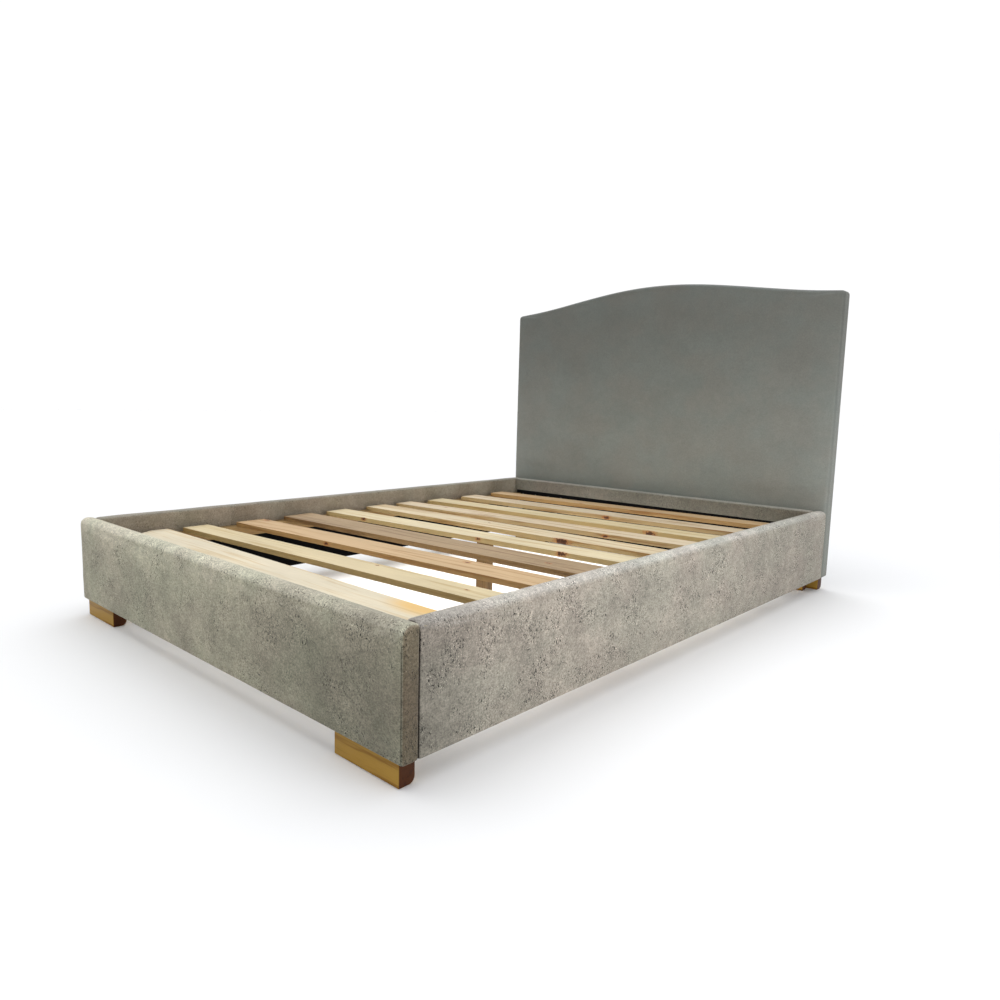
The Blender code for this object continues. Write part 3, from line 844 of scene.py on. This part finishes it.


# ---------------------------------------------------------------- build the pieces

# In this table the direction tints and axis tones are painted light and shade: lighter tops and top bands;
# darker insides, ends, the footboard's right end, the right rail's front corner and back, the headboard's
# top and left part.
VELVETS = {
    "footboard": dict(
        tints=(srgb(161, 159, 138), srgb(164, 158, 139)), contrast=1.25, speckle=1.5,
        painted_light_drifts=((0, 0.0, 0.74, 0.62), (2, 0.02, 0.11, 1.20)),
        seams=((-CORNER_SEAM, 0.108), (CORNER_SEAM, 0.108)),
        painted_face_light=(((0, 1, 0), 0.85, 1.0, (0.62, 0.60, 0.56)), ((0, 0, 1), 0.0, 0.50, (1.50, 1.52, 1.62)),
              ((1, 0, 0), 0.45, 0.95, (0.57, 0.49, 0.45)), ((-1, 0, 0), 0.45, 0.95, (0.8, 0.78, 0.76)))),
    "head_rail": dict(
        tints=(srgb(160, 158, 146), srgb(163, 156, 144)), contrast=0.8,
        painted_face_light=(((0, -1, 0), 0.60, 0.95, (0.62, 0.60, 0.57)), ((0, 0, 1), 0.3, 0.90, (0.95, 0.97, 1.0)))),
    "left_rail": dict(
        tints=(srgb(162, 156, 141), srgb(166, 156, 141)), contrast=0.8,
        painted_face_light=(((1, 0, 0), 0.60, 0.95, (0.94, 0.92, 0.90)), ((0, 0, 1), 0.3, 0.90, (0.85, 0.88, 0.92)),
              ((0, -1, 0), 0.70, 1.0, (0.3, 0.3, 0.3)))),
    "right_rail": dict(
        tints=(srgb(163, 158, 145), srgb(167, 158, 146)), contrast=1.25, speckle=2.4,
        painted_light_drifts=((1, -0.80, -1.06, 0.57), (1, 0.0, 0.8, 0.85), (2, 0.05, 0.12, 1.07)),
        painted_face_light=(((-1, 0, 0), 0.85, 1.0, (0.62, 0.60, 0.57)), ((0, 0, 1), 0.10, 0.80, (1.40, 1.48, 1.60)),
              ((0, -1, 0), 0.50, 0.95, (0.14, 0.12, 0.12)))),
    "headboard": dict(
        tints=(srgb(144, 149, 143), srgb(146, 147, 140)), contrast=0.30, speckle=0.10,
        painted_light_drifts=((2, -0.20, 0.52, 0.62), (0, 0.6, -0.7, 0.92)),
        painted_face_light=(((1, 0, 0), 0.5, 0.95, (0.8, 0.8, 0.8)), ((0, 0, 1), 0.2, 0.9, (1.15, 1.18, 1.24)))),
}

zinc = steel("zinc_steel_look")
lining = black_lining("lining_look")
for index, (name, outward) in enumerate(PANELS.items()):
    hem = HEAD_RAIL_HEM if name == "head_rail" else LEDGER_HEM
    mat = velvet("velvet_" + name, offset=(index * 1.7, index * 0.9, index * 2.3), **VELVETS[name])
    panel_cover(name, mat, outward, hem)
    panel_lining(name, lining, zinc, outward, hem)
headboard_cover(velvet("velvet_headboard", offset=(4.0, 2.0, 1.0), **VELVETS["headboard"]))
headboard_back(lining, zinc)

CREAM = (srgb(226, 215, 190), srgb(212, 191, 152))
STRAW = (srgb(224, 210, 175), srgb(202, 176, 130))
YELLOW = (srgb(218, 202, 164), srgb(196, 172, 124))
TAN = (srgb(207, 177, 136), srgb(174, 134, 90))
MAUVE = (srgb(174, 149, 116), srgb(138, 110, 80))
ROSY = (srgb(220, 203, 174), srgb(170, 134, 92))
BUFF = (srgb(222, 206, 174), srgb(184, 150, 100))

PLANKS = {
    1: dict(tones=CREAM, resin=(0.55, 0.040, 0.06)),
    2: dict(tones=YELLOW, knots=((0.503, 0.005, 0.008, 0.003), (0.17, 0.03, 0.008, 0.003))),
    3: dict(tones=TAN, knots=((-0.650, 0.046, 0.006, 0.007), (-0.20, -0.055, 0.0, 0.005),
                              (0.296, 0.028, 0.008, 0.005))),
    4: dict(tones=MAUVE, rough=1.0, knots=((0.451, -0.012, 0.008, 0.004),)),
    5: dict(tones=STRAW, knots=((-0.48, -0.050, 0.003, 0.006), (0.066, -0.050, 0.003, 0.005),
                                (0.384, -0.050, 0.002, 0.008))),
    6: dict(tones=BUFF, knots=((0.262, -0.051, 0.0, 0.012), (-0.10, 0.02, 0.008, 0.003))),
    7: dict(tones=ROSY, knots=((-0.475, 0.020, 0.008, 0.004), (0.30, -0.046, 0.0, 0.005))),
    8: dict(tones=YELLOW, knots=((0.362, -0.048, -0.002, 0.010),)),
    9: dict(tones=ROSY, knots=((0.068, -0.050, 0.0, 0.007),)),
    10: dict(tones=TAN, knots=((-0.2, -0.03, 0.008, 0.005),)),
}
# Each slat's side tint is painted shade on its faces that look along Y.
for number, look in PLANKS.items():
    light, dark = look["tones"]
    mat = wood("pine_%02d" % number, light, dark, seed=number * 1.31, knots=look.get("knots", ()),
               resin=look.get("resin"), rough_sawn=look.get("rough", 0.15), painted_side_shade=srgb(216, 200, 166))
    plank(number, mat, chamfer=(0.030, 0.045) if number == 1 else None, slant=0.006 if number == 3 else 0.0)

leg_wood = wood("leg_pine", srgb(118, 91, 54), srgb(76, 55, 28), seed=2.2, along="Z", contrast=1.1)
worn_block("middle_leg", leg_wood)
ledger_wood = wood("ledger_softwood", srgb(150, 122, 78), srgb(104, 78, 42), seed=5.1, along="Y")
# The feet's end tint darkens their end faces: partly end grain soaking up more stain, partly painted shade.
foot_wood = wood("stained_wood", srgb(172, 134, 56), srgb(134, 92, 28), seed=7.7, streak=95.0, contrast=0.9,
                 roughness=0.5, specular=0.2, end_stain_and_shade=srgb(114, 76, 26))
for side in ("left", "right"):
    worn_block("slat_support_" + side, ledger_wood, chamfer=0.0008)
    for place in ("front_foot_", "rail_foot_", "headboard_foot_"):
        worn_block(place + side, foot_wood)

foam = plain_noise("foam_look", srgb(222, 208, 160), srgb(196, 180, 128), 420.0, 0.95)
board = plain_noise("board_look", srgb(186, 156, 112), srgb(120, 90, 56), 150.0, 0.8)
for name, node in frame["nodes"].items():
    look = None
    if name.startswith("corner_") or name.startswith("headboard_bolt"):
        look = zinc
    elif name.endswith("_foam"):
        look = foam
    elif name.endswith("_board"):
        look = board
    if look is not None:
        node.data.materials.clear()
        node.data.materials.append(look)

# Stitches down the footboard's sewn corners.
stitch = thread("seam_thread", srgb(60, 52, 46))
low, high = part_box("footboard_cover")
for side, word in ((-1, "left"), (1, "right")):
    x = side * (high.x - SEAM_INSET)
    y = low.y + SEAM_INSET
    foot, head = Vector((x, y, low.z + SEAM_END)), Vector((x, y, high.z - SEAM_END))
    seam_line("footboard_seam_" + word, foot, head, stitch)

# ---------------------------------------------------------------- stage, light, camera

low, high = CAD_BOX
bpy.ops.mesh.primitive_plane_add(size=60.0, location=(0, 0, -0.0005))
floor = bpy.context.object
floor.name = "studio_floor"
paper = Graph("pale_floor", roughness=0.9)
paper.shader.inputs["Specular IOR Level"].default_value = 0.0
floor.data.materials.append(paper.finish(srgb(246, 247, 249)))
bpy.ops.mesh.primitive_uv_sphere_add(segments=48, ring_count=24, radius=40.0)
backdrop = bpy.context.object
backdrop.name = "studio_backdrop"
glow = bpy.data.materials.new("backdrop_glow")
glow.use_nodes = True
shader = glow.node_tree.nodes["Principled BSDF"]
shader.inputs["Base Color"].default_value = (0.0, 0.0, 0.0, 1.0)
shader.inputs["Emission Color"].default_value = (1.0, 1.0, 1.0, 1.0)
shader.inputs["Emission Strength"].default_value = 1.0
backdrop.data.materials.append(glow)
for way in ("visible_diffuse", "visible_glossy", "visible_transmission", "visible_shadow"):
    setattr(backdrop, way, False)

world = bpy.data.worlds.new("studio")
bpy.context.scene.world = world
world.use_nodes = True
background = world.node_tree.nodes["Background"]
background.inputs["Color"].default_value = (1.0, 1.0, 1.0, 1.0)
background.inputs["Strength"].default_value = 0.42


def aim(obj, at, look_at):
    """Put a light in the scene and turn it to a point; the camera does not see it."""
    obj.location = at
    obj.rotation_euler = (Vector(look_at) - Vector(at)).to_track_quat("-Z", "Y").to_euler()
    obj.visible_camera = False
    bpy.context.scene.collection.objects.link(obj)


def softbox(name, at, look_at, size, power, beam=180.0):
    light = bpy.data.lights.new(name, "AREA")
    light.shape = "RECTANGLE"
    light.size, light.size_y = size
    light.energy = power
    light.spread = math.radians(beam)
    aim(bpy.data.objects.new(name, light), at, look_at)


def wide_sun(name, at, strength, angle):
    light = bpy.data.lights.new(name, "SUN")
    light.energy = strength
    light.angle = math.radians(angle)
    aim(bpy.data.objects.new(name, light), at, (0.0, 0.0, 0.0))


wide_sun("overhead", (-0.7, 0.3, 3.0), 2.2, 95.0)
softbox("side", (2.7, -0.1, 0.75), (0.6, 0.0, 0.2), (1.6, 0.8), 14.0)
softbox("under_slats", (0.0, 0.0, 0.165), (0.0, 0.0, 0.0), (1.20, 1.75), 6.5, 110.0)

CAMERA_AT = Vector((1.661, low.y - 0.811, 0.686))
CAMERA_YAW = 0.7687      # turned left of +Y
CAMERA_PITCH = 0.1287    # tilted down
CAMERA_ROLL = 0.0193
camera_data = bpy.data.cameras.new("camera")
camera_data.sensor_width = 36.0
camera_data.lens = 26.72
camera_data.shift_x = 0.0403
camera_data.shift_y = -0.0041
camera = bpy.data.objects.new("camera", camera_data)
camera.location = CAMERA_AT
camera.rotation_mode = "XYZ"
turn = (Matrix.Rotation(CAMERA_YAW, 3, "Z") @ Matrix.Rotation(math.pi / 2 - CAMERA_PITCH, 3, "X")
        @ Matrix.Rotation(CAMERA_ROLL, 3, "Z"))
camera.rotation_euler = turn.to_euler("XYZ")
bpy.context.scene.collection.objects.link(camera)
bpy.context.scene.camera = camera

bpy.context.scene.view_settings.view_transform = "Standard"
bpy.context.scene.view_settings.look = "None"
